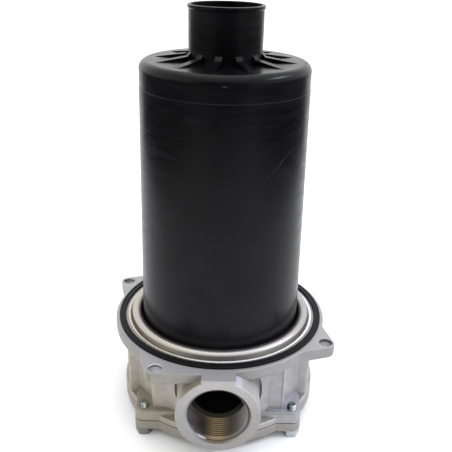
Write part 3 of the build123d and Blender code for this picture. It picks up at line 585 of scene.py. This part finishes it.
def zinc_steel():
    """Zinc-plated bolts: pale heads with painted shade at the left, and shanks painted darker in shade with
    one painted highlight streak along them.
    """
    f = Finish("zinc_steel")
    x, _, z = f.xyz()
    cloud = f.noise(4 * MM, detail=3)
    grain = f.noise(0.4 * MM, detail=2, seed=5.0)
    to_right = f.ramp(x, -30 * MM, 30 * MM)
    head = f.patchy(cloud, (0.38, 0.42, 0.41), (0.46, 0.50, 0.49))
    # Painted shade: the heads are darker and olive towards the left.
    head = f.mix_colour(to_right, (0.215, 0.212, 0.165), head)
    # Painted shade on the shanks, with a painted highlight streak and painted shade on the side away from
    # it.
    shank = f.patchy(cloud, (0.16, 0.18, 0.19), (0.22, 0.24, 0.25))
    streak = f.mix_colour(to_right, (0.500, 0.500, 0.360), (0.480, 0.530, 0.530))
    off_streak = f.math("ABSOLUTE", f.math("SUBTRACT", f.normal_part(0), 0.35))
    shank = f.mix_colour(f.ramp(off_streak, 0.15, 0.45), streak, shank)
    shank = f.mix_colour(f.ramp(off_streak, 0.75, 1.00), shank, (0.060, 0.062, 0.060))
    colour = f.mix_colour(f.ramp(z, SEAM_Z, SEAM_Z + 4 * MM), head, shank)
    f.bump(grain, 0.06, 0.02 * MM)
    return f.done(colour, f.ramp(cloud, 0.3, 0.7, 0.16, 0.24), metallic=1.0)


def cap_plastic():
    f = Finish("element_cap_plastic")
    fibre = f.noise(0.5 * MM, detail=5, stretch=(1, 0.3, 1))
    colour = f.mix_colour(f.ramp(fibre, 0.4, 0.7), (0.006, 0.006, 0.006), (0.014, 0.014, 0.014))
    f.bump(fibre, 0.2, 0.05 * MM)
    return f.done(colour, f.ramp(fibre, 0.3, 0.7, 0.45, 0.6), IOR=1.35)


def filter_media():
    f = Finish("filter_media")
    fibre = f.noise(0.25 * MM, detail=6, rough=0.7, stretch=(1, 1, 0.35))
    weave = f.math("SINE", f.math("MULTIPLY", f.xyz()[2], 2 * pi / (0.9 * MM)))
    colour = f.patchy(fibre, (0.62, 0.56, 0.42), (0.80, 0.76, 0.65))
    f.bump(fibre, 0.6, 0.15 * MM)
    f.bump(weave, 0.3, 0.05 * MM)
    return f.done(colour, f.ramp(fibre, 0.3, 0.7, 0.75, 0.95))


def drawn_steel(name, dark, light):
    f = Finish(name)
    cloud = f.noise(3 * MM, detail=5)
    colour = f.patchy(cloud, dark, light)
    f.bump(f.noise(0.3 * MM, detail=3, seed=6.0), 0.15, 0.02 * MM)
    return f.done(colour, f.ramp(cloud, 0.3, 0.7, 0.28, 0.42), metallic=1.0)


FINISHES = {
    "cast_aluminium": cast_aluminium(),
    "cut_thread": cut_thread(),
    "bowl_plastic": bowl_plastic(),
    "turned_ring": turned_ring(),
    "gasket_rubber": rubber("gasket_rubber", 0.003),
    "seal_rubber": rubber("seal_rubber", 0.006),
    "zinc_steel": zinc_steel(),
    "element_cap_plastic": cap_plastic(),
    "filter_media": filter_media(),
    "core_steel": drawn_steel("core_steel", (0.50, 0.51, 0.52), (0.66, 0.67, 0.68)),
    "spring_steel": drawn_steel("spring_steel", (0.30, 0.31, 0.33), (0.46, 0.47, 0.49)),
}


def dress_nodes():
    """Gives every CAD node the finish that its record slot names."""
    for part in frame["record"]["subparts"]:
        node = frame["nodes"][part["node"]]
        node.data.materials.clear()
        node.data.materials.append(FINISHES[part["material_slot"]])


# --- added pieces -----------------------------------------------------------------------------
def add_piece(name, points, faces, finish, smooth=True):
    """A mesh piece in the part's frame that takes a finish and rides on the housing."""
    data = bpy.data.meshes.new(name)
    data.from_pydata(points, [], faces)
    data.polygons.foreach_set("use_smooth", [smooth] * len(faces))
    data.materials.append(FINISHES[finish])
    data.validate()
    skin = bmesh.new()
    skin.from_mesh(data)
    bmesh.ops.recalc_face_normals(skin, faces=skin.faces)
    skin.to_mesh(data)
    skin.free()
    piece = bpy.data.objects.new(name, data)
    bpy.context.scene.collection.objects.link(piece)
    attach(piece, "housing")
    return piece


def tube_faces(rows, across):
    """Quads between neighbouring closed rows of points, each row with that many points round."""
    return [(r * across + c, r * across + (c + 1) % across,
             (r + 1) * across + (c + 1) % across, (r + 1) * across + c)
            for r in range(rows - 1) for c in range(across)]


def end_caps(rows, across):
    """The faces that close a tube at its first and last rows."""
    last = (rows - 1) * across
    return [tuple(range(across)), tuple(last + c for c in reversed(range(across)))]


def port_thread():
    """The right-hand internal thread of the port: one ridge that winds into the bore."""
    steps = PORT_THREAD_TURNS * 2 * ROUND_STEPS
    points = []
    for i in range(steps + 1):
        turn = i / (2 * ROUND_STEPS)
        angle = pi / 2 - 2 * pi * turn
        run_out = min(1.0, 2 * (PORT_THREAD_TURNS - turn))
        for inward, along in PORT_RIDGE:
            y = PORT_THREAD_START + PORT_THREAD_PITCH * (turn + 0.5 + along)
            mouth_r = PORT_MOUTH_R + PORT_FACE_Y - y + (MOUTH_RIDGE_SINK - MOUTH_RIDGE_H * inward)
            r = max(PORT_THREAD_R - PORT_THREAD_DEPTH * inward * run_out, mouth_r)
            points.append((r * cos(angle), y, PORT_Z + r * sin(angle)))
    across = len(PORT_RIDGE)
    faces = tube_faces(steps + 1, across) + end_caps(steps + 1, across)
    add_piece("port_thread", points, faces, "cut_thread", smooth=False)


def turned_piece(name, profile, finish, node):
    """A ring turned to that closed outline of (radius, height) in mm, in place of a CAD node."""
    points = []
    for k in range(TURNED_STEPS):
        angle = 2 * pi * k / TURNED_STEPS
        points += [(r * cos(angle) * MM, r * sin(angle) * MM, z * MM) for r, z in profile]
    across = len(profile)
    faces = [(k * across + c, (k + 1) % TURNED_STEPS * across + c,
              (k + 1) % TURNED_STEPS * across + (c + 1) % across, k * across + (c + 1) % across)
             for k in range(TURNED_STEPS) for c in range(across)]
    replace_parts(add_piece(name, points, faces, finish), node)


def hex_head(centre_x, centre_y, face_z):
    """Points and faces of a chamfered hexagon head, from that face to the washer."""
    points = []
    for k in range(BOLT_HEAD_STEPS):
        angle = 2 * pi * k / BOLT_HEAD_STEPS
        off_flat = (angle + pi / 6) % (pi / 3) - pi / 6
        hex_r = BOLT_HEAD_AF / 2 / cos(off_flat)
        chamfer_z = face_z + (hex_r - BOLT_FACE_R) * BOLT_FACE_SLOPE
        for r, z in ((BOLT_FACE_R, face_z), (hex_r, chamfer_z), (hex_r, WASHER_FACE_Z)):
            points.append((centre_x + r * sin(angle), centre_y + r * cos(angle), z))
    count = len(points)
    faces = [(3 * k + c, 3 * k + c + 1, (3 * k + c + 4) % count, (3 * k + c + 3) % count)
             for k in range(BOLT_HEAD_STEPS) for c in range(2)]
    faces.append(tuple(3 * k for k in range(BOLT_HEAD_STEPS)))
    faces.append(tuple(3 * k + 2 for k in reversed(range(BOLT_HEAD_STEPS))))
    return points, faces


def threaded_shank(centre_x, centre_y, tip_z):
    """Points and faces of a right-hand threaded shank, from the washer to a chamfered tip."""
    points = []
    rows = int((tip_z - WASHER_FACE_Z) / BOLT_THREAD_PITCH * BOLT_THREAD_ROWS) + 1
    for row in range(rows + 1):
        z = min(WASHER_FACE_Z + row * BOLT_THREAD_PITCH / BOLT_THREAD_ROWS, tip_z)
        tip_r = BOLT_R - BOLT_TIP_CHAMFER + min(BOLT_TIP_CHAMFER, tip_z - z)
        for c in range(ROUND_STEPS):
            phase = (row / BOLT_THREAD_ROWS - c / ROUND_STEPS) % 1.0
            thread_r = BOLT_R - BOLT_THREAD_DEPTH * abs(2 * phase - 1)
            r = min(thread_r, tip_r)
            angle = 2 * pi * c / ROUND_STEPS
            points.append((centre_x + r * cos(angle), centre_y + r * sin(angle), z))
    faces = tube_faces(rows + 1, ROUND_STEPS)
    faces.append(tuple(rows * ROUND_STEPS + c for c in range(ROUND_STEPS)))
    return points, faces


def cover_bolt(number):
    """A hexagon bolt with a chamfered head and a cut thread, in place of the plain CAD bolt."""
    low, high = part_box(f"cover_bolt_{number}")
    centre_x = (low.x + high.x) / 2
    centre_y = (low.y + high.y) / 2
    points, faces = hex_head(centre_x, centre_y, low.z)
    shank_points, shank_faces = threaded_shank(centre_x, centre_y, high.z)
    faces += [tuple(len(points) + corner for corner in face) for face in shank_faces]
    points += shank_points
    bolt = add_piece(f"hex_bolt_{number}", points, faces, "zinc_steel", smooth=False)
    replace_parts(bolt, f"cover_bolt_{number}")


def bypass_coil():
    """The bypass spring, wound as a coil of wire over the length of the CAD spring."""
    low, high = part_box("bypass_spring")
    coil_r = high.x - SPRING_WIRE_R
    length = high.z - low.z
    rise = length - 2 * SPRING_WIRE_R
    steps = SPRING_TURNS * ROUND_STEPS
    points = []
    for i in range(steps + 1):
        angle = 2 * pi * i / ROUND_STEPS
        for k in range(WIRE_STEPS):
            around = 2 * pi * k / WIRE_STEPS
            r = coil_r + SPRING_WIRE_R * cos(around)
            z = low.z + SPRING_WIRE_R + rise * i / steps + SPRING_WIRE_R * sin(around)
            points.append((r * cos(angle), r * sin(angle), z))
    faces = tube_faces(steps + 1, WIRE_STEPS) + end_caps(steps + 1, WIRE_STEPS)
    coil = add_piece("bypass_coil", points, faces, "spring_steel")
    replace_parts(coil, "bypass_spring")
    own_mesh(coil)


# --- studio -----------------------------------------------------------------------------------
def make_floor():
    """Pale paper: narrow in front of the part and beside it, and wide behind."""
    corners = [(-FLOOR_SIDE, FLOOR_FRONT), (FLOOR_SIDE, FLOOR_FRONT), (FLOOR_SIDE, FLOOR_SIDE),
               (FLOOR_HALF, FLOOR_HALF), (-FLOOR_HALF, FLOOR_HALF), (-FLOOR_SIDE, FLOOR_SIDE)]
    data = bpy.data.meshes.new("studio_floor")
    data.from_pydata([(x, y, FLOOR_Z) for x, y in corners], [], [tuple(range(len(corners)))])
    floor = bpy.data.objects.new("studio_floor", data)
    paper = bpy.data.materials.new("studio_paper")
    paper.use_nodes = True
    shader = paper.node_tree.nodes["Principled BSDF"]
    shader.inputs["Base Color"].default_value = FLOOR_COLOUR
    shader.inputs["Roughness"].default_value = 0.9
    shader.inputs["Specular IOR Level"].default_value = 0.1
    data.materials.append(paper)
    bpy.context.scene.collection.objects.link(floor)


def soft_box(name, place, width, height, watts, colour):
    data = bpy.data.lights.new(name, "AREA")
    data.shape = "RECTANGLE"
    data.size = width
    data.size_y = height
    data.energy = watts
    data.color = colour
    light = bpy.data.objects.new(name, data)
    light.location = place
    light.rotation_mode = "QUATERNION"
    light.rotation_quaternion = (Vector(LIGHT_TARGET) - Vector(place)).to_track_quat("-Z", "Y")
    bpy.context.scene.collection.objects.link(light)


def make_tent():
    """A white tent, dark behind the camera and under the floor. The camera itself sees only white."""
    world = bpy.context.scene.world or bpy.data.worlds.new("studio_air")
    bpy.context.scene.world = world
    world.use_nodes = True
    air = Graph(world.node_tree)
    parts = air.node("SeparateXYZ")
    air.feed(parts.inputs[0], air.node("TexCoord").outputs["Generated"])
    _, depth, height = parts.outputs
    behind_camera = air.ramp(depth, -0.70, -0.90, smooth=True)
    near_horizon = air.ramp(air.math("ABSOLUTE", height), 0.50, 0.22, smooth=True)
    tone = air.mix_colour(air.times(behind_camera, near_horizon), TENT_COLOUR, ROOM_COLOUR)
    tone = air.mix_colour(air.ramp(height, -0.02, -0.10), tone, ROOM_COLOUR)
    seen = air.node("LightPath").outputs["Is Camera Ray"]
    tone = air.mix_colour(seen, tone, TENT_COLOUR)
    background = air.tree.nodes["Background"]
    background.inputs["Strength"].default_value = WORLD_STRENGTH
    air.feed(background.inputs["Color"], tone)


def make_studio():
    make_floor()
    soft_box("top_box", **TOP_BOX)
    soft_box("right_box", **RIGHT_BOX)
    make_tent()
    bpy.context.scene.view_settings.view_transform = "Standard"


make_camera()
dress_nodes()
port_thread()
turned_piece("crowned_ring", RING_PROFILE, "turned_ring", "bowl_retaining_ring")
turned_piece("channel_gasket", GASKET_PROFILE, "gasket_rubber", "tank_gasket")
for bolt_number in range(1, BOLT_COUNT + 1):
    cover_bolt(bolt_number)
bypass_coil()
make_studio()

bpy.context.view_layer.update()
